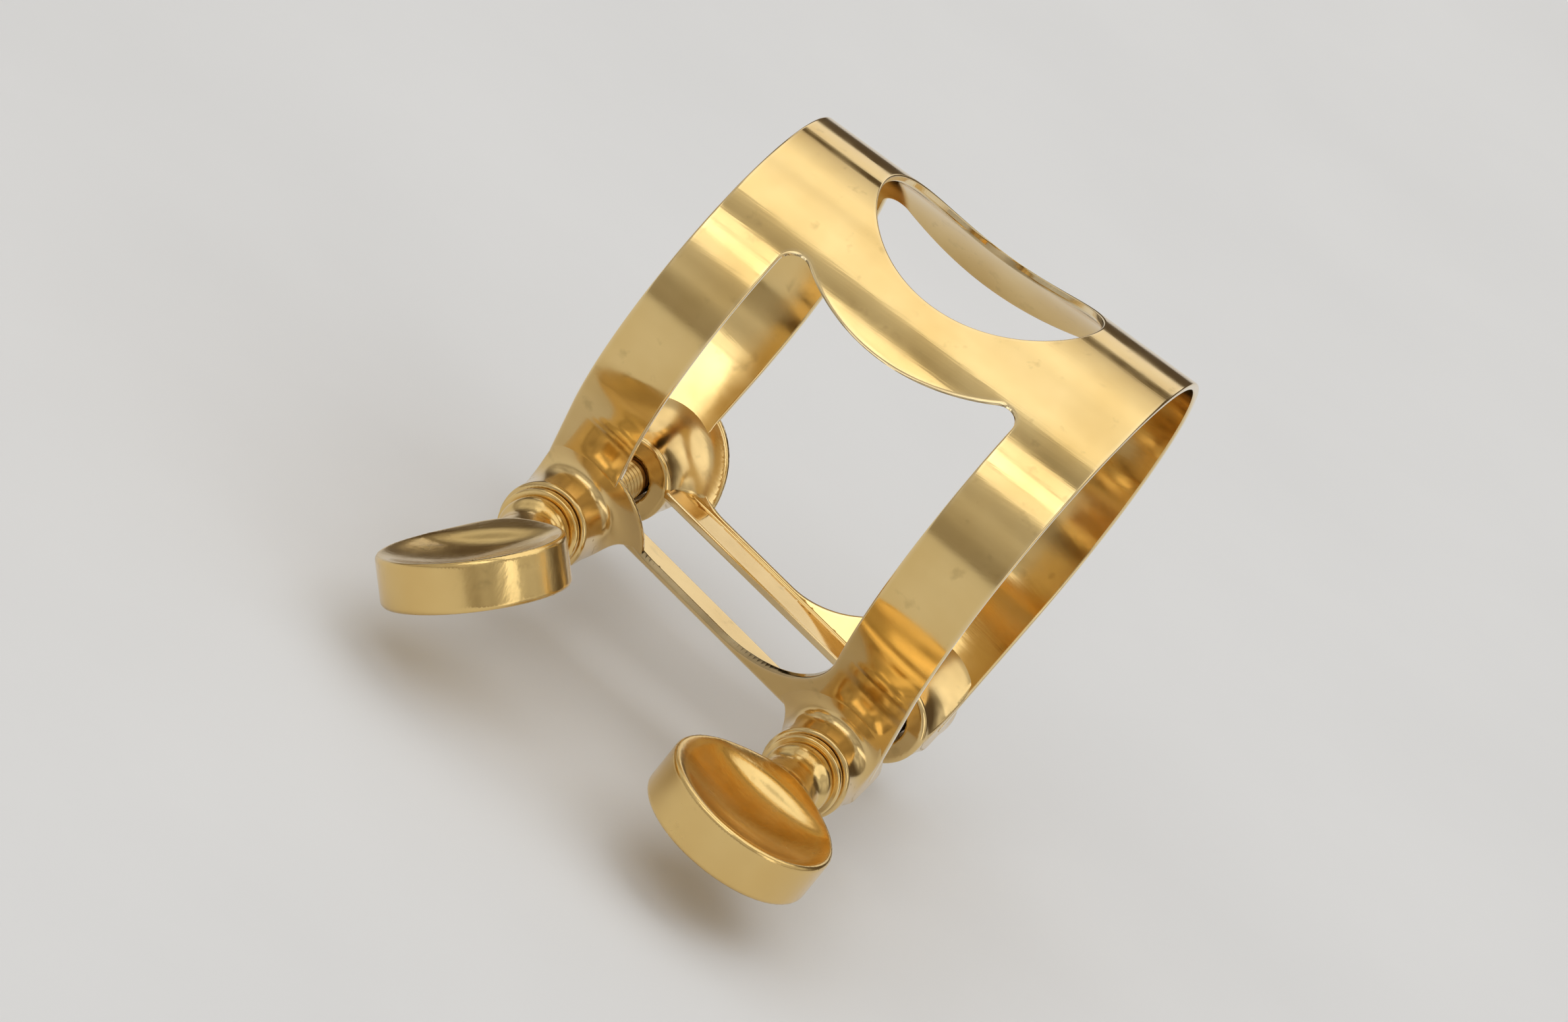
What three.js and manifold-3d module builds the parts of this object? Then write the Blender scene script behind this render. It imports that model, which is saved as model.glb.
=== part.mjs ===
// Saxophone ligature: a tapered brass band with four barrel posts and two thumbscrews.
// Millimetres. Origin on the bore axis, midway between the two rims. +X points toward the shank
// (wide) end, -Y toward the screw heads and +Z toward the round opening opposite the reed.
import * as THREE from 'three';
import { mergeVertices } from 'three/addons/utils/BufferGeometryUtils.js';
import { TessellateModifier } from 'three/addons/modifiers/TessellateModifier.js';
import Module from 'manifold-3d';

// Band
const BAND_LENGTH = 26.05;
const FRONT_RADIUS = 11.94; // outside, at the reed-tip rim
const REAR_RADIUS = 13.48; // outside, at the shank rim
const SHEET = 0.5;
const WRAP_ANGLE = THREE.MathUtils.degToRad(125); // the sheet is round this far from the top
const WRAP_STEPS = 28;

// Lower edge: a straight wing, then a small bend into a level lip on each side of the split
const WING_LENGTH = 7.6;
const WING_SLOPE = 0.072; // extra wing length per mm toward the shank
const BEND_RADIUS = 0.6;
const BEND_STEPS = 4;
const LIP_LENGTH = 2.1;

// Openings in the flat sheet
const HOLE_X = -0.15;
const HOLE_RADIUS = 7.35;
const RING_RADIUS = 11.85;
const WINDOW_FRONT = -8.4;
const WINDOW_REAR = 7.85;
const WINDOW_SILL = 0.13; // flat left between the window and the bend
const WINDOW_UPPER_FILLET = 0.7;
const WINDOW_FRONT_FILLET = 5;
const WINDOW_REAR_FILLET = 5.6;

// Lower edge of the sheet beside the posts, above each screw axis
const FRONT_EDGE_RISE = 2.7;
const REAR_EDGE_RISE = 0.675;

// Barrel posts and screws
const FRONT_POST = { x: -10.2, z: -13.9 };
const REAR_POST = { x: 10.2, z: -15.2 };
const POST_RADIUS = 2.7;
const POST_OUTER = 9.9;
const POST_INNER = 3.6;
const POST_EDGE = 0.3;
const POST_NOSE = 1.0;
const CLEAR_BORE = 1.55;
const THREAD_BORE = 1.5;
const SPINDLE_RADIUS = 1.3;
const SPINDLE_END = 11.2;
const FIT_GAP = 0.3; // round the posts and in the socket
const FACE_GAP = 0.15; // on each face of the washer

// Washer under each head
const WASHER_RADIUS = 2.45;
const WASHER_THICK = 0.55;

// Thumbscrew head, measured outward from its face against the washer
const HEAD_FACE = -POST_OUTER - WASHER_THICK - 2 * FACE_GAP;
const COLLAR_RADIUS = 2.1;
const COLLAR_LENGTH = 0.7;
const COLLAR_SHOULDER = 0.4; // from the collar to where the neck begins
const NECK_RADIUS = 1.75;
const SOCKET_DEPTH = 1.8;
const PADDLE_RADIUS = 5.4;
const PADDLE_RIM = 1.5; // half the rim thickness
const PADDLE_EDGE = 0.33; // rounding of the rim
const PADDLE_WEB = 0.7; // half the thickness in the middle of the dish
const PADDLE_CENTRE = 9.5; // from the head's face to the middle of the paddle
const FLARE_END = 5.3; // the trumpet neck stops just inside the rim
const FLARE_RADIUS = 3.3; // where it stops
const FLARE_POWER = 2.2; // how late the neck opens out
const FLARE_SQUEEZE = 0.62; // how far the neck flattens to the paddle's thickness
const SQUEEZE_START = 2.1; // round as far as this, so that the socket keeps its wall
const FRONT_HEAD_TURN = THREE.MathUtils.degToRad(43);
const REAR_HEAD_TURN = THREE.MathUtils.degToRad(-2);

// Facets
const TURNED_SEGMENTS = 24;
const PADDLE_SEGMENTS = 36;
const NOTCH_SEGMENTS = 40;
const HOLE_CURVE_STEPS = 20;
const WINDOW_CURVE_STEPS = 5;
const POST_EDGE_STEPS = 2;
const POST_NOSE_STEPS = 4;
const DISH_STEPS = 5;
const PADDLE_EDGE_STEPS = 3;
const FLARE_STEPS = 6;

// Cutting
const CUTTER_EDGE = 2.2; // longest edge of a cutter, so that it follows the curve
const CUTTER_PASSES = 24; // halvings allowed while reaching that length
const CUTTER_DEPTH = 1.2; // half a cutter's height, clear of both faces of the sheet
const WELD_BEFORE = 0.0001; // corners of a plain shape closer than this are one corner
const WELD_AFTER = 0.001; // the same for a shape that has been cut

const wasm = await Module();
wasm.setup();

function toSolid(geometry) {
  const bare = geometry.clone();
  bare.deleteAttribute('normal');
  bare.deleteAttribute('uv');
  const merged = mergeVertices(bare, WELD_BEFORE);
  return new wasm.Manifold(new wasm.Mesh({
    numProp: 3,
    vertProperties: Float32Array.from(merged.attributes.position.array),
    triVerts: Uint32Array.from(merged.index.array),
  }));
}

function toGeometry(solid) {
  const mesh = solid.getMesh();
  const geometry = new THREE.BufferGeometry();
  geometry.setAttribute('position', new THREE.BufferAttribute(Float32Array.from(mesh.vertProperties), 3));
  geometry.setIndex(new THREE.BufferAttribute(Uint32Array.from(mesh.triVerts), 1));
  const welded = mergeVertices(geometry, WELD_AFTER);
  const corners = Array.from(welded.index.array);
  const kept = [];
  for (let i = 0; i < corners.length; i += 3) {
    const [a, b, c] = corners.slice(i, i + 3);
    if (a !== b && b !== c && c !== a) kept.push(a, b, c);
  }
  welded.setIndex(kept);
  welded.computeVertexNormals();
  return welded;
}

function outerRadius(x) {
  return FRONT_RADIUS + (REAR_RADIUS - FRONT_RADIUS) * (x / BAND_LENGTH + 0.5);
}

function midRadius(x) {
  return outerRadius(x) - SHEET / 2;
}

function wingLength(x) {
  return WING_LENGTH + WING_SLOPE * x;
}

// Point on the sheet: s is the distance round from the top, positive on the near (-Y) side,
// and h is the height off the mid surface.
function sheetPoint(x, s, h) {
  const side = s < 0 ? 1 : -1;
  const radius = midRadius(x);
  const travel = Math.abs(s);
  const angle = Math.min(travel / radius, WRAP_ANGLE);
  let across = radius * Math.sin(angle);
  let up = radius * Math.cos(angle);
  let heading = angle;
  const past = travel - radius * WRAP_ANGLE;
  if (past > 0) {
    const straight = Math.min(past, wingLength(x));
    across += straight * Math.cos(heading);
    up -= straight * Math.sin(heading);
    const round = past - straight;
    const bend = Math.min(round / BEND_RADIUS, Math.PI - WRAP_ANGLE);
    across += BEND_RADIUS * (Math.sin(heading + bend) - Math.sin(heading));
    up += BEND_RADIUS * (Math.cos(heading + bend) - Math.cos(heading));
    heading += bend;
    const level = round - bend * BEND_RADIUS;
    across += level * Math.cos(heading);
    up -= level * Math.sin(heading);
  }
  return new THREE.Vector3(x, side * (across + h * Math.sin(heading)), up + h * Math.cos(heading));
}

// Distances round one half of the section at x, denser through the bend.
function sectionStops(x) {
  const wrap = midRadius(x) * WRAP_ANGLE;
  const stops = [];
  for (let i = 0; i <= WRAP_STEPS; i += 1) stops.push((wrap * i) / WRAP_STEPS);
  const bendStart = wrap + wingLength(x);
  const bendLength = BEND_RADIUS * (Math.PI - WRAP_ANGLE);
  for (let i = 0; i <= BEND_STEPS; i += 1) stops.push(bendStart + (bendLength * i) / BEND_STEPS);
  stops.push(bendStart + bendLength + LIP_LENGTH);
  return stops;
}

function bothSides(stops) {
  return [...stops.slice(1).reverse().map((s) => -s), ...stops];
}

// The whole sheet before any opening is cut: a ruled strip from the front rim to the rear rim.
function sheetBlank() {
  const rings = [-BAND_LENGTH / 2, BAND_LENGTH / 2].map((x) => {
    const stops = bothSides(sectionStops(x));
    return [-SHEET / 2, SHEET / 2].map((h) => stops.map((s) => sheetPoint(x, s, h)));
  });
  const [[frontIn, frontOut], [rearIn, rearOut]] = rings;
  const points = [];
  const quad = (a, b, c, d) => points.push(a, b, c, a, c, d);
  const last = frontIn.length - 1;
  for (let i = 0; i < last; i += 1) {
    quad(frontOut[i], frontOut[i + 1], rearOut[i + 1], rearOut[i]);
    quad(frontIn[i], rearIn[i], rearIn[i + 1], frontIn[i + 1]);
    quad(frontIn[i], frontIn[i + 1], frontOut[i + 1], frontOut[i]);
    quad(rearIn[i], rearOut[i], rearOut[i + 1], rearIn[i + 1]);
  }
  quad(frontIn[0], frontOut[0], rearOut[0], rearIn[0]);
  quad(frontIn[last], rearIn[last], rearOut[last], frontOut[last]);
  return toSolid(new THREE.BufferGeometry().setFromPoints(points));
}

// Turns an outline drawn on the flat sheet into a cutter that follows the sheet's curve. The outline's
// second coordinate is measured toward the far (+Y) side, which keeps the bent cutter's faces outward.
function sheetCutter(shape, curveSegments) {
  const flat = new THREE.ExtrudeGeometry(shape, { depth: 1, bevelEnabled: false, curveSegments });
  const fine = new TessellateModifier(CUTTER_EDGE, CUTTER_PASSES).modify(flat);
  const position = fine.attributes.position;
  for (let i = 0; i < position.count; i += 1) {
    const h = (position.getZ(i) - 0.5) * 2 * CUTTER_DEPTH;
    const point = sheetPoint(position.getX(i), -position.getY(i), h);
    position.setXYZ(i, point.x, point.y, point.z);
  }
  return toSolid(fine);
}

function topHoleOutline() {
  return new THREE.Shape().absarc(HOLE_X, 0, HOLE_RADIUS, 0, 2 * Math.PI, false);
}

// Far side window: the upper edge is an arc round the top hole, the lower edge follows the bend.
function windowOutline() {
  const bottom = (x) => midRadius(x) * WRAP_ANGLE + wingLength(x) - WINDOW_SILL;
  const tilt = Math.atan(bottom(1) - bottom(0));
  const upper = (x) => Math.sqrt((RING_RADIUS + WINDOW_UPPER_FILLET) ** 2 - (x - HOLE_X) ** 2);
  const lower = (x, fillet) => bottom(x) - fillet / Math.cos(tilt);
  const small = WINDOW_UPPER_FILLET;
  const frontFillet = WINDOW_FRONT_FILLET;
  const rearFillet = WINDOW_REAR_FILLET;
  const rearUp = { x: WINDOW_REAR - small, s: upper(WINDOW_REAR - small) };
  const frontUp = { x: WINDOW_FRONT + small, s: upper(WINDOW_FRONT + small) };
  const rearLow = { x: WINDOW_REAR - rearFillet, s: lower(WINDOW_REAR - rearFillet, rearFillet) };
  const frontLow = { x: WINDOW_FRONT + frontFillet, s: lower(WINDOW_FRONT + frontFillet, frontFillet) };
  const toHole = (corner) => Math.atan2(-corner.s, HOLE_X - corner.x);
  const shape = new THREE.Shape();
  shape.absarc(rearUp.x, rearUp.s, small, toHole(rearUp), 0, false);
  shape.absarc(rearLow.x, rearLow.s, rearFillet, 0, Math.PI / 2 + tilt, false);
  shape.absarc(frontLow.x, frontLow.s, frontFillet, Math.PI / 2 + tilt, Math.PI, false);
  shape.absarc(frontUp.x, frontUp.s, small, Math.PI, toHole(frontUp) + 2 * Math.PI, false);
  shape.absarc(HOLE_X, 0, RING_RADIUS, toHole(frontUp) + Math.PI, toHole(rearUp) + Math.PI, true);
  return shape;
}

function mirrored(solid) {
  return solid.mirror([0, 1, 0]);
}

// Clears the sheet from round both barrels of one screw.
function notchCutter(post) {
  const radius = POST_RADIUS + FIT_GAP;
  const geometry = new THREE.CylinderGeometry(radius, radius, POST_OUTER * 4, NOTCH_SEGMENTS);
  return toSolid(geometry.translate(post.x, 0, post.z));
}

function boxSolid(x0, x1, y0, y1, z0, z1) {
  const geometry = new THREE.BoxGeometry(x1 - x0, y1 - y0, z1 - z0);
  return toSolid(geometry.translate((x0 + x1) / 2, (y0 + y1) / 2, (z0 + z1) / 2));
}

// Removes the lip in front of, under and behind the posts.
function lowerEdgeCutters() {
  const wide = BAND_LENGTH;
  const deep = -REAR_RADIUS - POST_RADIUS * 2;
  return [
    boxSolid(-wide, FRONT_POST.x, -POST_OUTER, POST_OUTER, deep, FRONT_POST.z + FRONT_EDGE_RISE),
    boxSolid(REAR_POST.x, wide, -POST_OUTER, POST_OUTER, deep, REAR_POST.z + REAR_EDGE_RISE),
    notchCutter(FRONT_POST),
    notchCutter(REAR_POST),
  ];
}

function bandGeometry() {
  const windowCutter = sheetCutter(windowOutline(), WINDOW_CURVE_STEPS);
  const cutters = [
    sheetCutter(topHoleOutline(), HOLE_CURVE_STEPS),
    windowCutter,
    mirrored(windowCutter),
    ...lowerEdgeCutters(),
  ];
  return toGeometry(cutters.reduce((solid, cutter) => solid.subtract(cutter), sheetBlank()));
}

function arcPoints(cx, cy, radius, from, to, steps) {
  return Array.from({ length: steps + 1 }, (_, i) => {
    const angle = from + ((to - from) * i) / steps;
    return new THREE.Vector2(cx + radius * Math.cos(angle), cy + radius * Math.sin(angle));
  });
}

function closedLathe(profile, segments) {
  return new THREE.LatheGeometry([...profile, profile[0].clone()], segments);
}

// Barrel post: square outer face with a broken edge, rounded inner nose. Side 1 is the far (+Y) one.
function postGeometry(post, bore, side) {
  const edge = [POST_RADIUS - POST_EDGE, -POST_OUTER + POST_EDGE, POST_EDGE];
  const nose = [POST_RADIUS - POST_NOSE, -POST_INNER - POST_NOSE, POST_NOSE];
  const profile = [
    new THREE.Vector2(bore, -POST_OUTER),
    ...arcPoints(...edge, -Math.PI / 2, 0, POST_EDGE_STEPS),
    ...arcPoints(...nose, 0, Math.PI / 2, POST_NOSE_STEPS),
    new THREE.Vector2(bore, -POST_INNER),
  ];
  const geometry = closedLathe(profile, TURNED_SEGMENTS);
  if (side > 0) geometry.rotateX(Math.PI);
  return geometry.translate(post.x, 0, post.z);
}

function washerGeometry(post) {
  const face = -POST_OUTER - FACE_GAP;
  const bevel = WASHER_THICK / 4;
  const profile = [
    new THREE.Vector2(CLEAR_BORE, face - WASHER_THICK),
    new THREE.Vector2(WASHER_RADIUS - bevel, face - WASHER_THICK),
    new THREE.Vector2(WASHER_RADIUS, face - WASHER_THICK + bevel),
    new THREE.Vector2(WASHER_RADIUS, face - bevel),
    new THREE.Vector2(WASHER_RADIUS - bevel, face),
    new THREE.Vector2(CLEAR_BORE, face),
  ];
  return closedLathe(profile, TURNED_SEGMENTS).translate(post.x, 0, post.z);
}

function spindleGeometry(post) {
  const start = HEAD_FACE - SOCKET_DEPTH;
  const chamfer = SPINDLE_RADIUS / 3;
  const profile = [
    new THREE.Vector2(0, start),
    new THREE.Vector2(SPINDLE_RADIUS, start),
    new THREE.Vector2(SPINDLE_RADIUS, SPINDLE_END - chamfer),
    new THREE.Vector2(SPINDLE_RADIUS - chamfer, SPINDLE_END),
    new THREE.Vector2(0, SPINDLE_END),
  ];
  return new THREE.LatheGeometry(profile, TURNED_SEGMENTS).translate(post.x, 0, post.z);
}

// Round paddle, dished on both faces, lying in the plane that holds the screw axis.
function paddleGeometry() {
  const dishEdge = PADDLE_RADIUS - PADDLE_EDGE * 2;
  const dish = (r) => PADDLE_WEB + (PADDLE_RIM - PADDLE_WEB) * (r / dishEdge) ** 2;
  const face = Array.from({ length: DISH_STEPS + 1 }, (_, i) => {
    const r = (dishEdge * i) / DISH_STEPS;
    return new THREE.Vector2(r, dish(r));
  });
  const rim = arcPoints(
    PADDLE_RADIUS - PADDLE_EDGE, PADDLE_RIM - PADDLE_EDGE, PADDLE_EDGE, Math.PI / 2, 0, PADDLE_EDGE_STEPS);
  const upper = [...face, ...rim];
  const lower = upper.map((p) => new THREE.Vector2(p.x, -p.y));
  const geometry = new THREE.LatheGeometry([...lower, ...upper.reverse()], PADDLE_SEGMENTS);
  return geometry.rotateZ(-Math.PI / 2).rotateX(Math.PI / 2).rotateY(Math.PI / 2);
}

// Collar and trumpet neck, turned about the screw axis.
function neckGeometry() {
  const start = COLLAR_LENGTH + COLLAR_SHOULDER;
  const flare = Array.from({ length: FLARE_STEPS + 1 }, (_, i) => {
    const t = i / FLARE_STEPS;
    const radius = NECK_RADIUS + (FLARE_RADIUS - NECK_RADIUS) * t ** FLARE_POWER;
    return new THREE.Vector2(radius, -start - (FLARE_END - start) * t);
  });
  const profile = [
    new THREE.Vector2(0, 0),
    new THREE.Vector2(COLLAR_RADIUS, 0),
    new THREE.Vector2(COLLAR_RADIUS, -COLLAR_LENGTH),
    ...flare,
    new THREE.Vector2(0, -FLARE_END),
  ];
  return new THREE.LatheGeometry(profile.reverse(), TURNED_SEGMENTS);
}

// Flattens the neck step by step, from round past the socket to the paddle's thickness.
function squeezeNeck(neck) {
  const position = neck.attributes.position;
  for (let i = 0; i < position.count; i += 1) {
    const out = (-position.getY(i) - SQUEEZE_START) / (FLARE_END - SQUEEZE_START);
    const reach = THREE.MathUtils.clamp(out, 0, 1);
    position.setZ(i, position.getZ(i) * (1 - FLARE_SQUEEZE * reach));
  }
  return neck;
}

function headGeometry(post, turn) {
  const paddle = paddleGeometry().translate(0, -PADDLE_CENTRE, 0);
  const neck = squeezeNeck(neckGeometry());
  const socketRadius = SPINDLE_RADIUS + FIT_GAP / 2;
  const socketLength = (SOCKET_DEPTH + FIT_GAP) * 2;
  const socket = new THREE.CylinderGeometry(socketRadius, socketRadius, socketLength, TURNED_SEGMENTS);
  const solid = toSolid(neck).add(toSolid(paddle)).subtract(toSolid(socket));
  return toGeometry(solid).rotateY(-turn).translate(post.x, HEAD_FACE, post.z);
}

function brass(color, roughness) {
  return new THREE.MeshStandardMaterial({ color, roughness, metalness: 1 });
}

function addPart(group, name, geometry, color, roughness) {
  const mesh = new THREE.Mesh(geometry, brass(color, roughness));
  mesh.name = name;
  group.add(mesh);
}

function buildLigature() {
  const group = new THREE.Group();
  group.name = 'saxophone_ligature';
  addPart(group, 'band', bandGeometry(), 0xd8a63c, 0.2);
  const stations = [
    { name: 'front', post: FRONT_POST, turn: FRONT_HEAD_TURN },
    { name: 'rear', post: REAR_POST, turn: REAR_HEAD_TURN },
  ];
  for (const { name, post, turn } of stations) {
    addPart(group, `${name}_near_post`, postGeometry(post, CLEAR_BORE, -1), 0xcf9c38, 0.24);
    addPart(group, `${name}_far_post`, postGeometry(post, THREAD_BORE, 1), 0xcf9c38, 0.24);
    addPart(group, `${name}_washer`, washerGeometry(post), 0xe0b75a, 0.2);
    addPart(group, `${name}_screw_spindle`, spindleGeometry(post), 0xb98a34, 0.3);
    addPart(group, `${name}_screw_head`, headGeometry(post, turn), 0xd2a040, 0.3);
  }
  return group;
}

export default buildLigature();
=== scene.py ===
# Saxophone ligature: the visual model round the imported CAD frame.
# Sizes are in mm; new_object() turns them into metres.
import math

import bpy
import numpy as np
from mathutils import Matrix, Vector
from mathutils.geometry import delaunay_2d_cdt


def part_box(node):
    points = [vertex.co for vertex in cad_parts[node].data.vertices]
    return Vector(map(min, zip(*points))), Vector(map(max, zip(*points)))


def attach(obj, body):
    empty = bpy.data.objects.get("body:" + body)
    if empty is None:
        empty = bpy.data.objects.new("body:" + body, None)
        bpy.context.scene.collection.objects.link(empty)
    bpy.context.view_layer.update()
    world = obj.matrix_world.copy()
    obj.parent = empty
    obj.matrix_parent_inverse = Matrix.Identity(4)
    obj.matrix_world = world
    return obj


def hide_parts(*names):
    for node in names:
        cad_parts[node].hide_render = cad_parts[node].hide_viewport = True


MM = 0.001
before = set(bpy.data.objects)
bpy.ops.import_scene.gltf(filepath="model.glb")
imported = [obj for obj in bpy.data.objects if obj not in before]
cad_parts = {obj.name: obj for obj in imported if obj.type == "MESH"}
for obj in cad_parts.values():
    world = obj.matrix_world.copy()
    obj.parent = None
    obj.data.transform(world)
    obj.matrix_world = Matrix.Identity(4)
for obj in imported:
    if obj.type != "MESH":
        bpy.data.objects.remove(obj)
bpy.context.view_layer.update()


# ---------------------------------------------------------------- sizes taken from the frame, in mm
def node_box(name):
    low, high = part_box(name)
    return np.array(low) / MM, np.array(high) / MM


BAND_HIGH = node_box("band")[1]
TAPER = 1.54  # by which the front rim's radius is less than the rear rim's
HALF_LENGTH = BAND_HIGH[0]
REAR_RADIUS = BAND_HIGH[2]
FRONT_RADIUS = REAR_RADIUS - TAPER
SHEET = 0.5
WRAP = math.radians(125)  # how far round the cone each half goes before its straight wing
WING, WING_SLOPE = 7.6, 0.072
BEND_RADIUS, LIP = 0.6, 2.1

HOLE_X, HOLE_RADIUS, RING_RADIUS = -0.15, 7.35, 11.85
WINDOW_FRONT, WINDOW_REAR, WINDOW_SILL = -8.4, 7.85, 0.13
UPPER_FILLET, FRONT_FILLET, REAR_FILLET = 0.95, 5.0, 5.6

CORNER_RADIUS, CORNER_RISE = 1.3, 2.9  # the sheet's lower front corner, over the front screw
REAR_RISE = 0.6  # height of the sheet's lower rear end over the rear screw
NOTCH_DEPTH = 0.12  # how far a barrel's round stands into the sheet's edge
SIDE_INSET, REAR_INSET = 0.2, 0.25  # how far inside a barrel's sides its notch ends
NEAR_BORE, FAR_BORE, WASHER_BORE = 1.55, 1.5, 1.55


class Station:
    """One screw: its posts, washer, spindle and head, measured from the CAD nodes.

    turn is the paddle's angle about the screw, in degrees."""

    def __init__(self, name, turn):
        self.name = name
        self.turn = math.radians(turn)
        post_low, post_high = node_box(f"{name}_near_post")
        self.x = (post_low[0] + post_high[0]) / 2
        self.z = (post_low[2] + post_high[2]) / 2
        self.radius = (post_high[0] - post_low[0]) / 2
        self.outer, self.inner = -post_low[1], -post_high[1]
        self.washer_low, self.washer_high = node_box(f"{name}_washer")
        self.spindle_low, self.spindle_high = node_box(f"{name}_screw_spindle")
        self.head_face = node_box(f"{name}_screw_head")[1][1]
        self.head_end = node_box(f"{name}_screw_head")[0][1]


STATIONS = [Station("front", 43), Station("rear", -2)]
FRONT, REAR = STATIONS


# ---------------------------------------------------------------- the sheet as a mapping
def mid_radius(x):
    outer = FRONT_RADIUS + (REAR_RADIUS - FRONT_RADIUS) * (x / HALF_LENGTH + 1) / 2
    return outer - SHEET / 2


def wing_length(x):
    return WING + WING_SLOPE * x


def sheet_frame(x, s):
    """Side, distance across, height and outward heading of the sheet's middle.

    x runs along the bore and s round from the top, in arrays. A positive s is the near side."""
    radius, travel = mid_radius(x), np.abs(s)
    angle = np.minimum(travel / radius, WRAP)
    across, up = radius * np.sin(angle), radius * np.cos(angle)
    past = np.maximum(travel - radius * WRAP, 0)
    straight = np.minimum(past, wing_length(x))
    across += straight * math.cos(WRAP)
    up -= straight * math.sin(WRAP)
    bend = np.minimum((past - straight) / BEND_RADIUS, math.pi - WRAP)
    heading = angle + bend
    across += BEND_RADIUS * (np.sin(heading) - np.sin(angle))
    up += BEND_RADIUS * (np.cos(heading) - np.cos(angle))
    level = past - straight - bend * BEND_RADIUS
    across += level * np.cos(heading)
    up -= level * np.sin(heading)
    side = np.where(s < 0, 1.0, -1.0)
    return side, across, up, heading


def sheet_points(x, s, h):
    side, across, up, heading = sheet_frame(x, s)
    return np.stack([x, side * (across + h * np.sin(heading)), up + h * np.cos(heading)], 1)


def bend_start(x):
    """Distance round from the top to where the wing ends and the bend into the lip starts."""
    return mid_radius(x) * WRAP + wing_length(x)


def drop_to(x, z):
    """Distance round from the top to where the straight wing reaches height z."""
    start = mid_radius(x) * math.cos(WRAP)
    return mid_radius(x) * WRAP + (start - z) / math.sin(WRAP)


# ---------------------------------------------------------------- outlines on the flat sheet
EDGE_SPACING = 0.28


def arc(cx, cy, radius, start, end, spacing=EDGE_SPACING):
    count = max(3, int(abs(end - start) * radius / spacing))
    angle = np.linspace(start, end, count)
    return np.stack([cx + radius * np.cos(angle), cy + radius * np.sin(angle)], 1)


def resample(points, spacing=EDGE_SPACING):
    """Closed outline with evenly spaced points."""
    closed = np.vstack([points, points[:1]])
    steps = np.hypot(*np.diff(closed, axis=0).T)
    keep = np.concatenate([[True], steps[:-1] > 1e-6])
    closed = np.vstack([points[keep], points[:1]])
    steps = np.hypot(*np.diff(closed, axis=0).T)
    along = np.concatenate([[0], np.cumsum(steps)])
    count = int(along[-1] / spacing)
    at = np.linspace(0, along[-1], count, endpoint=False)
    return np.stack([np.interp(at, along, closed[:, i]) for i in (0, 1)], 1)


def subdivide(points, longest=0.3):
    """Closed outline with repeated points dropped and long edges split evenly."""
    result = []
    for a, b in zip(points, np.roll(points, -1, axis=0)):
        length = np.hypot(*(b - a))
        if length > 1e-6:
            count = int(np.ceil(length / longest))
            result += [a + (b - a) * i / count for i in range(count)]
    return np.array(result)


def window_outline():
    """Near window: round its ring above, filleted into upright sides and a level sill."""
    def bottom(x):
        return bend_start(x) - WINDOW_SILL

    tilt = math.atan(bottom(1) - bottom(0))

    def upper(x):
        return math.sqrt((RING_RADIUS + UPPER_FILLET) ** 2 - (x - HOLE_X) ** 2)

    rear_up = (WINDOW_REAR - UPPER_FILLET, upper(WINDOW_REAR - UPPER_FILLET))
    front_up = (WINDOW_FRONT + UPPER_FILLET, upper(WINDOW_FRONT + UPPER_FILLET))

    def fillet_centre(x, fillet):
        return x, bottom(x) - fillet / math.cos(tilt)

    rear_low = fillet_centre(WINDOW_REAR - REAR_FILLET, REAR_FILLET)
    front_low = fillet_centre(WINDOW_FRONT + FRONT_FILLET, FRONT_FILLET)

    def to_hole(corner):
        return math.atan2(-corner[1], HOLE_X - corner[0])

    turn = math.pi / 2 + tilt
    return subdivide(np.vstack([
        arc(*rear_up, UPPER_FILLET, to_hole(rear_up), 0, spacing=0.12),
        arc(*rear_low, REAR_FILLET, 0, turn),
        arc(*front_low, FRONT_FILLET, turn, math.pi),
        arc(*front_up, UPPER_FILLET, math.pi, to_hole(front_up) + 2 * math.pi, spacing=0.12),
        arc(HOLE_X, 0, RING_RADIUS, to_hole(front_up) + math.pi, to_hole(rear_up) + math.pi),
    ]))


def notch(station, start, end):
    """Edge of the sheet where it sits on a barrel, from x = start to x = end."""
    x = np.linspace(start, end, 40)
    reach = station.radius - NOTCH_DEPTH
    z = station.z + np.sqrt(np.maximum(reach**2 - (x - station.x) ** 2, 0))
    return np.stack([x, drop_to(x, z)], 1)


def lower_edge():
    """Bottom edge of one half of the sheet, from the front rim to the rear rim."""
    front_x, rear_x = -HALF_LENGTH, HALF_LENGTH
    front_end = FRONT.x + FRONT.radius - SIDE_INSET
    rear_start = REAR.x - REAR.radius + SIDE_INSET
    lip_end = BEND_RADIUS * (math.pi - WRAP) + LIP
    centre = front_x + CORNER_RADIUS, drop_to(front_x, FRONT.z + CORNER_RISE)
    corner = arc(*centre, CORNER_RADIUS, math.pi, math.pi * 0.62, spacing=0.15)
    return np.vstack([
        corner,
        notch(FRONT, corner[-1][0] + SIDE_INSET, front_end),
        [[x, bend_start(x) + lip_end] for x in (front_end, rear_start)],
        notch(REAR, rear_start, REAR.x + REAR.radius - REAR_INSET),
        [[rear_x, drop_to(rear_x, REAR.z + REAR_RISE)]],
    ])


def sheet_outline():
    half = lower_edge()
    other = half[::-1] * np.array([1, -1])
    return resample(np.vstack([half, other]))


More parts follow.
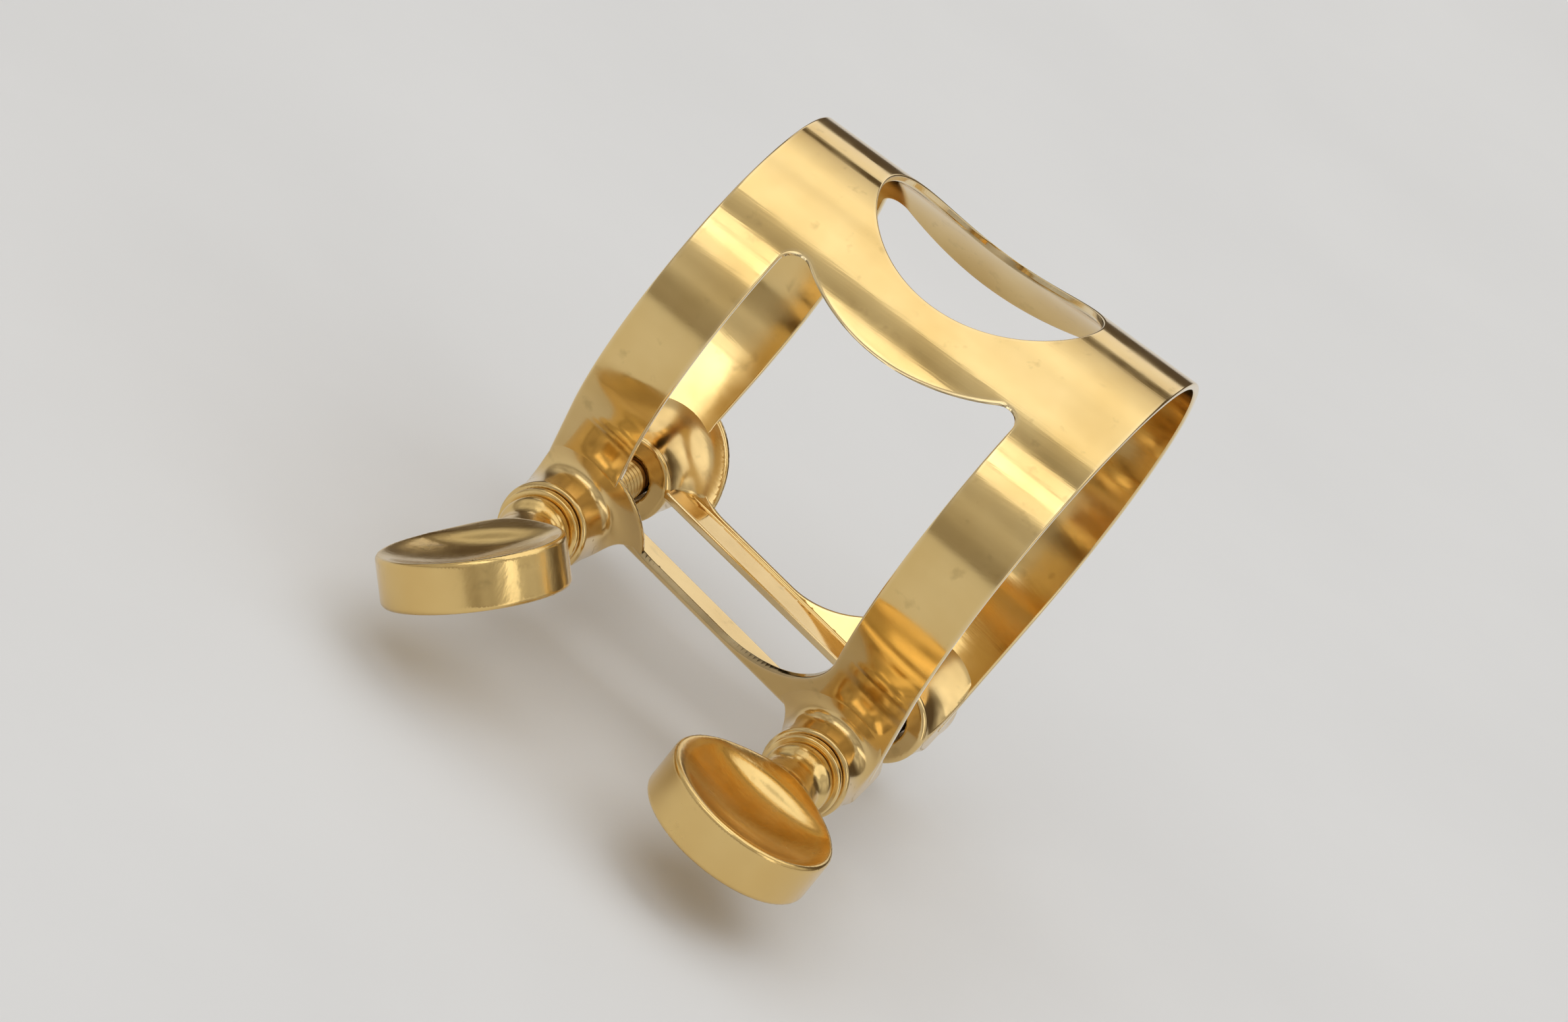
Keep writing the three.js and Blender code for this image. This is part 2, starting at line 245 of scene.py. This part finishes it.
# ---------------------------------------------------------------- meshes
def new_object(name, points, faces, normals=None):
    mesh = bpy.data.meshes.new(name)
    mesh.from_pydata((np.asarray(points) * MM).tolist(), [], faces)
    mesh.validate()
    mesh.polygons.foreach_set("use_smooth", [True] * len(mesh.polygons))
    if normals is not None:
        mesh.normals_split_custom_set_from_vertices(np.asarray(normals).tolist())
    mesh.update()
    obj = bpy.data.objects.new(name, mesh)
    bpy.context.scene.collection.objects.link(obj)
    return obj


def inside(points, loop):
    """Which points lie inside a closed loop."""
    x, y = points[:, 0], points[:, 1]
    result = np.zeros(len(points), bool)
    for a, b in zip(loop, np.roll(loop, -1, axis=0)):
        crosses = (a[1] > y) != (b[1] > y)
        with np.errstate(divide="ignore", invalid="ignore"):
            at = (b[0] - a[0]) * (y - a[1]) / (b[1] - a[1]) + a[0]
        result ^= crosses & (x < at)
    return result


def inward(loop, is_hole):
    """Unit directions from a loop's points into the sheet."""
    tangent = np.roll(loop, -1, axis=0) - np.roll(loop, 1, axis=0)
    tangent /= np.linalg.norm(tangent, axis=1)[:, None]
    normal = np.stack([-tangent[:, 1], tangent[:, 0]], 1)
    after = np.roll(loop, -1, axis=0)
    area = np.sum(loop[:, 0] * after[:, 1] - after[:, 0] * loop[:, 1])
    return normal * (1 if (area > 0) != is_hole else -1)


EDGE_RADIUS = 0.14
EDGE_ANGLES = [0, 30, 60, 90]
INNER_RING = EDGE_RADIUS * 2.2  # inset of the last ring, on the flat of the faces
TOP_RING = len(EDGE_ANGLES)
GRID_ALONG, GRID_AROUND = 48, 190
GRID_CLEARANCE, ROW_CLEARANCE = 0.18, 0.05
BEND_ROWS, BEND_SPACING = 8, 0.35


def on_sheet(points, loops):
    """Which points lie inside the sheet's outline and outside its openings."""
    result = inside(points, loops[0][0])
    for loop, _ in loops[1:]:
        result &= ~inside(points, loop)
    return result


def away_from(points, others, distance):
    """The points that lie further than distance from every one of the others."""
    nearest = np.array([np.min(np.sum((others - p) ** 2, axis=1)) for p in points])
    return points[nearest > distance**2]


def bend_rows(grid, rims, loops):
    """Extra points through the tight bend at the lip, clear of the outlines and of the grid."""
    x = np.arange(-HALF_LENGTH, HALF_LENGTH, BEND_SPACING)
    length = BEND_RADIUS * (math.pi - WRAP)
    rows = []
    for share in np.linspace(0, 1, BEND_ROWS):
        s = bend_start(x) + length * share
        rows += np.stack([x, s], 1).tolist() + np.stack([x, -s], 1).tolist()
    rows = np.array(rows)
    rows = away_from(rows[on_sheet(rows, loops)], rims, INNER_RING + ROW_CLEARANCE)
    return away_from(rows, grid, ROW_CLEARANCE)


def sheet_grid(loops):
    """Points over the sheet between its outlines, with extra rows at the bend."""
    span = np.abs(loops[0][0][:, 1]).max()
    grid_x = np.linspace(-HALF_LENGTH, HALF_LENGTH, GRID_ALONG)
    grid_s = np.linspace(-span, span, GRID_AROUND)
    grid = np.stack(np.meshgrid(grid_x, grid_s, indexing="ij"), -1).reshape(-1, 2)
    rims = np.vstack([loop for loop, _ in loops])
    grid = away_from(grid[on_sheet(grid, loops)], rims, INNER_RING + GRID_CLEARANCE)
    return np.vstack([grid, bend_rows(grid, rims, loops)])


def flat_sheet():
    """The sheet laid flat: points, triangles, each point's ring and its way out of the sheet.

    Rings run from 0 on a cut edge to TOP_RING, where the flat of the faces begins."""
    window = window_outline()
    hole = resample(arc(HOLE_X, 0, HOLE_RADIUS, 0, 2 * math.pi)[:-1])
    loops = [(sheet_outline(), False), (hole, True), (window, True), (window * [1, -1], True)]
    insets = [EDGE_RADIUS * (1 - math.cos(math.radians(a))) for a in EDGE_ANGLES] + [INNER_RING]
    points, ring_of, out_of, fixed = [], [], [], []
    for loop, is_hole in loops:
        into = inward(loop, is_hole)
        for ring, inset in enumerate(insets):
            start = len(points)
            points += (loop + into * inset).tolist()
            ring_of += [ring] * len(loop)
            out_of += (-into).tolist()
            fixed += [(start + i, start + (i + 1) % len(loop)) for i in range(len(loop))]
    grid = sheet_grid(loops)
    points += grid.tolist()
    ring_of += [TOP_RING] * len(grid)
    out_of += [[0, 0]] * len(grid)
    result = delaunay_2d_cdt([Vector(p) for p in points], fixed, [], 0, 1e-6)
    flat = np.array([tuple(v) for v in result[0]])
    source = [ids[0] if ids else -1 for ids in result[3]]
    ring = np.array([ring_of[i] if i >= 0 else TOP_RING for i in source])
    outward = np.array([out_of[i] if i >= 0 else (0, 0) for i in source], float)
    triangles = np.array([list(f) for f in result[2]])
    triangles = triangles[on_sheet(flat[triangles].mean(axis=1), loops)]
    a, b, c = (flat[triangles[:, i]] for i in range(3))
    turned = (b - a)[:, 0] * (c - a)[:, 1] - (b - a)[:, 1] * (c - a)[:, 0] < 0
    triangles[turned] = triangles[turned][:, ::-1]
    return flat, triangles, ring, outward


def make_band():
    """The sheet with rounded cut edges: a flat triangulation, raised and bent on to both faces."""
    flat, triangles, ring, outward = flat_sheet()
    angle = np.radians(np.array(EDGE_ANGLES + [90]))[ring]
    height = SHEET / 2 - EDGE_RADIUS + EDGE_RADIUS * np.sin(angle)
    side, _, _, heading = sheet_frame(flat[:, 0], flat[:, 1])
    face = np.stack([np.zeros(len(flat)), side * np.sin(heading), np.cos(heading)], 1)
    along = np.stack([np.zeros(len(flat)), -np.cos(heading), side * -np.sin(heading)], 1)
    rim = outward[:, :1] * np.array([[1, 0, 0]]) + outward[:, 1:] * along
    shells, normals = [], []
    for sign in (1, -1):
        shells.append(sheet_points(flat[:, 0], flat[:, 1], sign * height))
        normals.append(sign * np.sin(angle)[:, None] * face + np.cos(angle)[:, None] * rim)
    count = len(flat)
    faces = [tuple(t[::-1]) for t in triangles] + [tuple(t + count) for t in triangles]
    directed = {(t[i], t[(i + 1) % 3]) for t in triangles for i in range(3)}
    for p, q in directed:
        if (q, p) not in directed:
            faces.append((p, q, q + count, p + count))
    obj = new_object("band_sheet", np.vstack(shells), faces, np.vstack(normals))
    # cut_edge runs from 1 on a cut edge to 0 on the flat; the brass uses it to paint a paler
    # highlight, with lacquer wear, along the edges
    edge = obj.data.attributes.new("cut_edge", "FLOAT", "POINT")
    near_edge = np.where(ring < TOP_RING, 1.0 - ring / TOP_RING, 0.0)
    edge.data.foreach_set("value", np.tile(near_edge, 2))
    return obj


PULL_STEPS = 8
LEAST_SLOPE = 0.2  # keeps a pull short where the field is nearly flat
CELL_SHARE = 0.49  # a point never leaves its own cell, so no two points can meet


def net_surface(name, field, low, high, cell, swing=0.0, origin=(0, 0, 0)):
    """Closed mesh of field = 0 by surface nets, pulled on to the surface, with its own normals.

    The mesh is then swung about the Y axis (from +X toward +Z) and moved to origin."""
    low, high = np.array(low, float), np.array(high, float)
    count = np.ceil((high - low) / cell).astype(int) + 1
    axes = [low[i] + cell * np.arange(count[i]) for i in range(3)]
    nodes = np.stack(np.meshgrid(*axes, indexing="ij"), -1)
    value = field(nodes.reshape(-1, 3)).reshape(count)
    filled = value < 0
    corner = [filled[i:count[0] - 1 + i, j:count[1] - 1 + j, k:count[2] - 1 + k]
              for i in (0, 1) for j in (0, 1) for k in (0, 1)]
    total = sum(c.astype(int) for c in corner)
    mixed = (total > 0) & (total < 8)
    index = -np.ones(mixed.shape, int)
    index[mixed] = np.arange(mixed.sum())
    points = low + cell * (np.argwhere(mixed) + 0.5)
    faces = []
    for axis in range(3):
        u, v = (axis + 1) % 3, (axis + 2) % 3
        first = np.take(filled, range(count[axis] - 1), axis)
        second = np.take(filled, range(1, count[axis]), axis)
        for place in np.argwhere(first != second):
            past_end = place[u] >= count[u] - 1 or place[v] >= count[v] - 1
            if 0 in (place[u], place[v]) or past_end:
                continue
            ring = []
            for du, dv in ((0, 0), (-1, 0), (-1, -1), (0, -1)):
                cellid = place.copy()
                cellid[u] += du
                cellid[v] += dv
                ring.append(int(index[tuple(cellid)]))
            faces.append(tuple(ring if first[tuple(place)] else ring[::-1]))
    step = cell * 0.02
    unit = np.eye(3) * step

    def gradient(p):
        rise = [field(p + unit[i]) - field(p - unit[i]) for i in range(3)]
        return np.stack([r / (2 * step) for r in rise], 1)

    centres = points.copy()
    for _ in range(PULL_STEPS):
        slope = gradient(points)
        steepness = np.maximum(np.sum(slope**2, axis=1), LEAST_SLOPE)[:, None]
        move = field(points)[:, None] * slope / steepness
        length = np.linalg.norm(move, axis=1)[:, None]
        points = points - move * np.minimum(1, cell * 0.5 / np.maximum(length, 1e-9))
        points = np.clip(points, centres - cell * CELL_SHARE, centres + cell * CELL_SHARE)
    slope = gradient(points)
    cos_s, sin_s = math.cos(swing), math.sin(swing)
    swung = np.array([[cos_s, 0, sin_s], [0, 1, 0], [-sin_s, 0, cos_s]])
    normals = slope / np.linalg.norm(slope, axis=1)[:, None]
    return new_object(name, points @ swung + np.array(origin, float), faces, normals @ swung)


def soft_min(a, b, blend):
    """Union of two distance fields, with a fillet as wide as blend."""
    mix = np.maximum(blend - np.abs(a - b), 0) / blend
    return np.minimum(a, b) - mix * mix * blend / 4


def soft_max(a, b, blend):
    return -soft_min(-a, -b, blend)


def round_box(p, half, rounding):
    """Distance to a 2D box with rounded corners; p holds columns of coordinates."""
    q = np.abs(p) - (np.array(half) - rounding)
    outside = np.linalg.norm(np.maximum(q, 0), axis=1)
    return outside + np.minimum(q.max(axis=1), 0) - rounding


SOLDER_BLEND, SOLDER_REACH = 2.3, 2.4
BARREL_ROUNDING, BARREL_CELL = 0.28, 0.16
SHEET_INSET, RIM_INSET = 0.05, 0.15  # keep the saddle's own sheet inside the band's
RIM_MARGIN = 0.03  # keeps a barrel inside the rims


def make_post(station, side, bore):
    """Barrel post with the sheet drawn down on to it in a smooth soldered saddle."""
    length = station.outer - station.inner
    middle = (station.outer + station.inner) / 2

    def wing(p):
        x, across = p[:, 0], side * p[:, 1]
        radius = mid_radius(x)
        start_across, start_up = radius * math.sin(WRAP), radius * math.cos(WRAP)
        off = (across - start_across) * math.sin(WRAP) + (p[:, 2] - start_up) * math.cos(WRAP)
        down = (across - start_across) * math.cos(WRAP) - (p[:, 2] - start_up) * math.sin(WRAP)
        slab = np.abs(off) - SHEET / 2 + SHEET_INSET
        sheet_end = down - wing_length(x)
        rims = np.abs(x) - HALF_LENGTH + RIM_INSET
        return soft_max(soft_max(slab, sheet_end, 0.3), rims, 0.3)

    def field(p):
        across = side * p[:, 1]
        radial = np.hypot(p[:, 0] - station.x, p[:, 2] - station.z)
        barrel = round_box(np.stack([radial, across - middle], 1),
                           (station.radius, length / 2), BARREL_ROUNDING)
        joined = soft_min(barrel, wing(p), SOLDER_BLEND)
        capped = soft_max(joined, radial - station.radius - SOLDER_REACH, 0.2)
        capped = soft_max(capped, across - station.outer, 0.15)
        capped = soft_max(capped, np.abs(p[:, 0]) - HALF_LENGTH + RIM_MARGIN, 0.12)
        return soft_max(capped, bore - radial, 0.15)

    reach = station.radius + SOLDER_REACH + 0.3
    y = sorted([side * (station.inner - 0.4), side * (station.outer + 0.4)])
    low = [max(station.x - reach, -HALF_LENGTH - 0.2), y[0], station.z - station.radius - 0.3]
    high = [min(station.x + reach, HALF_LENGTH + 0.2), y[1], station.z + reach]
    which = "near" if side < 0 else "far"
    return net_surface(f"{station.name}_{which}_barrel", field, low, high, BARREL_CELL)


PADDLE_RADIUS, PADDLE_RIM, PADDLE_ROUNDING = 5.38, 1.5, 0.33
PADDLE_WEB, DISH_EDGE, DISH_BLEND = 0.5, 4.98, 0.22
COLLAR_RADIUS, COLLAR_HALF, COLLAR_ROUNDING = 1.95, 0.35, 0.2
NECK_RADIUS, NECK_START = 1.6, 0.6
NECK_END = 3.7  # distance from the paddle's centre
FLARE_START, FLARE_SHORTFALL = 1.0, 4.4  # its length is the paddle centre's distance, less this
FLARE_WIDENING, FLARE_POWER, FLARE_THINNING = 2.1, 1.25, 0.35
HEAD_BLEND, HEAD_CELL = 1.3, 0.15
HEAD_GRID_TURN = math.radians(43)  # both heads are sampled here, with no face along the grid


def make_head(station):
    """Thumbscrew head: collar, trumpet neck and a round paddle dished on both faces."""
    centre = -(station.head_end - station.head_face) - PADDLE_RADIUS
    rise = PADDLE_RIM - PADDLE_WEB
    dish_radius = (DISH_EDGE**2 + rise**2) / (2 * rise)
    cos_t, sin_t = math.cos(HEAD_GRID_TURN), math.sin(HEAD_GRID_TURN)

    def field(p):
        out = station.head_face - p[:, 1]
        dx, dz = p[:, 0], p[:, 2]
        across, thick = dx * cos_t + dz * sin_t, np.abs(-dx * sin_t + dz * cos_t)
        around = np.hypot(out - centre, across)
        disc = round_box(np.stack([around, thick], 1), (PADDLE_RADIUS, PADDLE_RIM),
                         PADDLE_ROUNDING)
        dish = np.hypot(around, thick - PADDLE_WEB - dish_radius) - dish_radius
        disc = soft_max(disc, -dish, DISH_BLEND)
        reach = np.clip((out - FLARE_START) / (centre - FLARE_SHORTFALL), 0, 1)
        width = NECK_RADIUS + FLARE_WIDENING * reach**FLARE_POWER
        depth = NECK_RADIUS - FLARE_THINNING * reach
        scaled = np.hypot(across / width, thick / depth)
        slope = np.hypot(across / width**2, thick / depth**2)
        neck = scaled * (scaled - 1) / np.maximum(slope, 1e-6)
        neck = soft_max(neck, out - centre + NECK_END, 0.6)
        neck = soft_max(neck, NECK_START - out, 0.1)
        radial = np.hypot(across, thick)
        collar = round_box(np.stack([radial, out - COLLAR_HALF], 1),
                           (COLLAR_RADIUS, COLLAR_HALF), COLLAR_ROUNDING)
        body = soft_min(soft_min(disc, neck, HEAD_BLEND), collar, HEAD_BLEND)
        return soft_max(body, -out, 0.05)

    reach = PADDLE_RADIUS + 0.4
    low = [-reach, station.head_end - 0.3, -reach]
    high = [reach, station.head_face + 0.3, reach]
    return net_surface(f"{station.name}_thumbscrew_head", field, low, high, HEAD_CELL,
                       station.turn - HEAD_GRID_TURN, (station.x, 0, station.z))


def spin(name, profile, station, segments=72):
    """Closed ring turned about a screw axis from (radius, y) points."""
    points, faces = [], []
    count = len(profile)
    for i in range(segments):
        a = 2 * math.pi * i / segments
        points += [(station.x + r * math.cos(a), y, station.z + r * math.sin(a))
                   for r, y in profile]
    for i in range(segments):
        for j in range(count):
            here, after, up = i * count, ((i + 1) % segments) * count, (j + 1) % count
            faces.append((here + j, here + up, after + up, after + j))
    return new_object(name, points, faces)


def rounded_ring(inner, outer, low, high, edge=0.12, steps=4):
    """Profile of a ring with rounded corners, counter-clockwise in (radius, y)."""
    corners = [(outer - edge, high - edge, 0), (inner + edge, high - edge, 90),
               (inner + edge, low + edge, 180), (outer - edge, low + edge, 270)]
    profile = []
    for cx, cy, start in corners:
        for i in range(steps + 1):
            a = math.radians(start + 90 * i / steps)
            profile.append((cx + edge * math.cos(a), cy + edge * math.sin(a)))
    return profile


def make_washer(station):
    low, high = station.washer_low, station.washer_high
    outer = (high[0] - low[0]) / 2
    profile = rounded_ring(WASHER_BORE, outer, low[1], high[1])
    return spin(f"{station.name}_collar_washer", profile, station)


PITCH = 0.5
THREAD_DEPTH = 0.17
SPINDLE_SEGMENTS, ROWS_PER_PITCH = 36, 8
TIP_LENGTH, TIP_TAPER = 0.5, 0.22


def make_spindle(station):
    """Threaded rod: a plain shank through the near post, then a helical thread to the tip."""
    low, high = station.spindle_low, station.spindle_high
    crest = (high[0] - low[0]) / 2
    thread_from, tip = -station.inner, high[1]
    segments = SPINDLE_SEGMENTS
    rows = [low[1], low[1] + 0.2, thread_from - 0.6]
    rows += np.arange(thread_from - 0.4, tip - 0.02, PITCH / ROWS_PER_PITCH).tolist() + [tip]
    points, faces = [], []
    for y in rows:
        for i in range(segments):
            a = 2 * math.pi * i / segments
            phase = ((y - thread_from) / PITCH + i / segments) % 1
            groove = THREAD_DEPTH * (1 - abs(2 * phase - 1)) if y > thread_from else 0
            fade = min(1, max(0, (tip - y) / TIP_LENGTH))
            radius = (crest - groove) * (1 - TIP_TAPER + TIP_TAPER * fade)
            points.append((station.x + radius * math.cos(a), y,
                           station.z + radius * math.sin(a)))
    for row in range(len(rows) - 1):
        here, after = row * segments, (row + 1) * segments
        for i in range(segments):
            j = (i + 1) % segments
            faces.append((here + i, after + i, after + j, here + j))
    faces.append(tuple(range(segments)))
    faces.append(tuple(reversed(range((len(rows) - 1) * segments, len(rows) * segments))))
    return new_object(f"{station.name}_threaded_spindle", points, faces)


# ---------------------------------------------------------------- materials
def node(tree, kind, **values):
    made = tree.nodes.new(kind)
    for key, value in values.items():
        setattr(made, key, value)
    return made


def noise(tree, coords, scale, detail=4.0, stretch=(1, 1, 1)):
    mapping = node(tree, "ShaderNodeMapping")
    mapping.inputs["Scale"].default_value = stretch
    tree.links.new(coords, mapping.inputs["Vector"])
    made = node(tree, "ShaderNodeTexNoise")
    made.inputs["Scale"].default_value = scale
    made.inputs["Detail"].default_value = detail
    tree.links.new(mapping.outputs["Vector"], made.inputs["Vector"])
    return made.outputs["Fac"]


def ramp(tree, value, low, high, at=(0.3, 0.7)):
    made = node(tree, "ShaderNodeMapRange")
    for socket, number in zip(("From Min", "From Max", "To Min", "To Max"), (*at, low, high)):
        made.inputs[socket].default_value = number
    tree.links.new(value, made.inputs["Value"])
    return made.outputs["Result"]


def mix_color(tree, factor, first, second):
    made = node(tree, "ShaderNodeMix", data_type="RGBA")
    for socket, value in (("A", first), ("B", second)):
        target = next(s for s in made.inputs if s.name == socket and s.type == "RGBA")
        if isinstance(value, tuple):
            target.default_value = (*value, 1)
        else:
            tree.links.new(value, target)
    tree.links.new(factor, made.inputs["Factor"])
    return next(s for s in made.outputs if s.type == "RGBA")


SPOT_SHADE = 0.55
# Paler brass for the rounded cut edges: partly a painted highlight along them, partly lacquer worn
# through
EDGE_HIGHLIGHT_AND_WEAR = (0.95, 0.78, 0.48)
LINE_STRENGTH, LINE_HEIGHT = 0.06, 0.00003
WAVE_STRENGTH, WAVE_HEIGHT = 0.12, 0.0001


def brass(name, base, deep, rough, brushed=(60, 1400, 60), brush_depth=0.0, edge=False):
    """Lacquered brass: warm colour drift, uneven polish, hairline scratches and a thin coat."""
    material = bpy.data.materials.new(name)
    material.use_nodes = True
    tree = material.node_tree
    shader = tree.nodes["Principled BSDF"]
    shader.inputs["Metallic"].default_value = 1
    shader.inputs["Coat Weight"].default_value = 0.25
    shader.inputs["Coat Roughness"].default_value = 0.06
    coords = node(tree, "ShaderNodeTexCoord").outputs["Object"]
    drift = ramp(tree, noise(tree, coords, scale=160, detail=3), low=0, high=1)
    color = mix_color(tree, drift, base, deep)
    flecks = noise(tree, coords, scale=900, detail=6)
    spots = ramp(tree, flecks, low=0, high=0.35, at=(0.62, 0.75))
    color = mix_color(tree, spots, color, tuple(c * SPOT_SHADE for c in deep))
    # Paint a paler highlight on the rounded cut edges, where the lacquer also wears through
    if edge:
        edge_highlight_mask = node(tree, "ShaderNodeAttribute", attribute_name="cut_edge").outputs["Fac"]
        bright = ramp(tree, edge_highlight_mask, low=0, high=0.8, at=(0, 1))
        color = mix_color(tree, bright, color, EDGE_HIGHLIGHT_AND_WEAR)
    tree.links.new(color, shader.inputs["Base Color"])
    polish = noise(tree, coords, scale=420, detail=5)
    tree.links.new(ramp(tree, polish, *rough), shader.inputs["Roughness"])
    lines = noise(tree, coords, scale=6, detail=2, stretch=brushed)
    bump = node(tree, "ShaderNodeBump")
    bump.inputs["Strength"].default_value = LINE_STRENGTH + brush_depth
    bump.inputs["Distance"].default_value = LINE_HEIGHT
    tree.links.new(lines, bump.inputs["Height"])
    waves = node(tree, "ShaderNodeBump")
    waves.inputs["Strength"].default_value = WAVE_STRENGTH
    waves.inputs["Distance"].default_value = WAVE_HEIGHT
    tree.links.new(noise(tree, coords, scale=240, detail=2), waves.inputs["Height"])
    tree.links.new(bump.outputs["Normal"], waves.inputs["Normal"])
    tree.links.new(waves.outputs["Normal"], shader.inputs["Normal"])
    return material


GOLD = (0.85, 0.63, 0.28)
DEEP_GOLD = (0.74, 0.51, 0.19)
band_brass = brass("band_brass", GOLD, DEEP_GOLD, (0.07, 0.16), edge=True)
post_brass = brass("post_brass", (0.83, 0.61, 0.28), (0.72, 0.50, 0.20), (0.12, 0.24))
washer_brass = brass("washer_brass", (0.88, 0.66, 0.32), (0.78, 0.54, 0.2), (0.1, 0.2))
spindle_brass = brass("spindle_brass", (0.72, 0.5, 0.2), (0.58, 0.38, 0.13), (0.2, 0.36))
head_brass = brass("head_brass", (0.84, 0.61, 0.25), (0.74, 0.50, 0.18), (0.16, 0.28),
                   brushed=(500, 500, 40), brush_depth=0.3)


# ---------------------------------------------------------------- pieces
def place(obj, material, body, nodes, slot):
    obj.data.materials.clear()
    obj.data.materials.append(material)
    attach(obj, body)
    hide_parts(*nodes)


place(make_band(), band_brass, "band_assembly", ["band"], "band_brass")
for station in STATIONS:
    label = station.name
    for side, which, bore in ((-1, "near", NEAR_BORE), (1, "far", FAR_BORE)):
        place(make_post(station, side, bore), post_brass, "band_assembly",
              [f"{label}_{which}_post"], "post_brass")
    place(make_washer(station), washer_brass, f"{label}_washer_carrier",
          [f"{label}_washer"], "washer_brass")
    screw = f"{label}_thumbscrew"
    place(make_spindle(station), spindle_brass, screw,
          [f"{label}_screw_spindle"], "spindle_brass")
    place(make_head(station), head_brass, screw, [f"{label}_screw_head"], "head_brass")


# ---------------------------------------------------------------- stage, camera and lights
STAGE_SHADE, STAGE_ROUGHNESS = 0.96, 0.8
FLOOR_CLEARANCE = 0.15


def stage_plane(name, size, location, color):
    bpy.ops.mesh.primitive_plane_add(size=size, location=location)
    obj = bpy.context.object
    obj.name = name
    material = bpy.data.materials.new(name)
    material.use_nodes = True
    tree = material.node_tree
    shader = tree.nodes["Principled BSDF"]
    coords = node(tree, "ShaderNodeTexCoord").outputs["Object"]
    mottle = ramp(tree, noise(tree, coords, scale=30, detail=4), low=0, high=1)
    tint = mix_color(tree, mottle, color, tuple(c * STAGE_SHADE for c in color))
    tree.links.new(tint, shader.inputs["Base Color"])
    shader.inputs["Roughness"].default_value = STAGE_ROUGHNESS
    obj.data.materials.append(material)


# Just below the circle that the lower screw's paddle sweeps as it turns
FLOOR_HEIGHT = (min(station.z for station in STATIONS) - PADDLE_RADIUS - FLOOR_CLEARANCE) * MM
stage_plane("floor", size=4, location=(0, 0, FLOOR_HEIGHT), color=(0.84, 0.845, 0.85))

AZIMUTH, ELEVATION, ROLL = (math.radians(a) for a in (8.23, 22.07, 36.56))
back = Vector((math.sin(AZIMUTH) * math.cos(ELEVATION), -math.cos(AZIMUTH) * math.cos(ELEVATION),
               math.sin(ELEVATION)))
level = Vector((math.cos(AZIMUTH), math.sin(AZIMUTH), 0))
upright = back.cross(level)
right = level * math.cos(ROLL) + upright * math.sin(ROLL)
up = upright * math.cos(ROLL) - level * math.sin(ROLL)
DISTANCE, AIM_OFFSET = 0.55, -0.005
LENS, SENSOR = 222, 36
camera_data = bpy.data.cameras.new("camera")
camera_data.lens, camera_data.sensor_width = LENS, SENSOR
camera_data.clip_start, camera_data.clip_end = 0.01, 20
camera = bpy.data.objects.new("camera", camera_data)
bpy.context.scene.collection.objects.link(camera)
aim = right * AIM_OFFSET + up * AIM_OFFSET
axes = Matrix((right, up, back)).transposed().to_4x4()
camera.matrix_world = Matrix.Translation(aim + back * DISTANCE) @ axes
bpy.context.scene.camera = camera


def softbox(name, direction, distance, size, power):
    """Area light standing off from the object along direction, and aimed back at it."""
    data = bpy.data.lights.new(name, "AREA")
    data.shape, data.size, data.size_y = "RECTANGLE", size[0], size[1]
    data.energy = power
    obj = bpy.data.objects.new(name, data)
    bpy.context.scene.collection.objects.link(obj)
    way = Vector(direction).normalized()
    obj.location = way * distance
    obj.rotation_mode = "QUATERNION"
    obj.rotation_quaternion = way.to_track_quat("Z", "Y")


# Three strips above the camera side, as a paned window gives, then a broad top light, a weak
# fill from the rear end and one from behind
for step, share in ((-1, 0.6), (0, 1.0), (1, 0.75)):
    tilt = math.radians(47 + 8 * step)
    way = (-0.33 * math.cos(tilt), -0.94 * math.cos(tilt), math.sin(tilt))
    softbox(f"window_{step + 1}", way, distance=0.6, size=(0.5, 0.075), power=0.17 * share)
softbox("overhead", (0.1, 0.2, 1), distance=0.6, size=(1.0, 0.7), power=1.5)
softbox("fill", (1.0, -0.5, 0.25), distance=0.7, size=(0.2, 0.5), power=0.35)
softbox("back", (-0.2, 1.0, 0.5), distance=0.7, size=(0.7, 0.2), power=0.4)

# Pale cloth all round with soft folds, brown and dim low down behind the object
world = bpy.data.worlds.new("studio")
world.use_nodes = True
sky = world.node_tree
way = node(sky, "ShaderNodeTexCoord").outputs["Generated"]
split = node(sky, "ShaderNodeSeparateXYZ")
sky.links.new(way, split.inputs["Vector"])
folds = noise(sky, way, scale=2.6, detail=3, stretch=(3.5, 1.0, 1.4))
lit = ramp(sky, folds, low=0, high=1, at=(0.36, 0.64))
cloth = mix_color(sky, lit, (0.34, 0.32, 0.29), (0.78, 0.77, 0.75))
height = ramp(sky, split.outputs["Z"], low=0, high=1, at=(-0.05, 0.35))
cloth = mix_color(sky, height, (0.30, 0.27, 0.23), cloth)
behind = ramp(sky, split.outputs["Y"], low=0, high=1, at=(0.45, 0.72))
tone = mix_color(sky, behind, cloth, (0.10, 0.075, 0.05))
sky.links.new(tone, sky.nodes["Background"].inputs["Color"])
sky.nodes["Background"].inputs["Strength"].default_value = 0.95
bpy.context.scene.world = world
bpy.context.scene.view_settings.view_transform = "Standard"
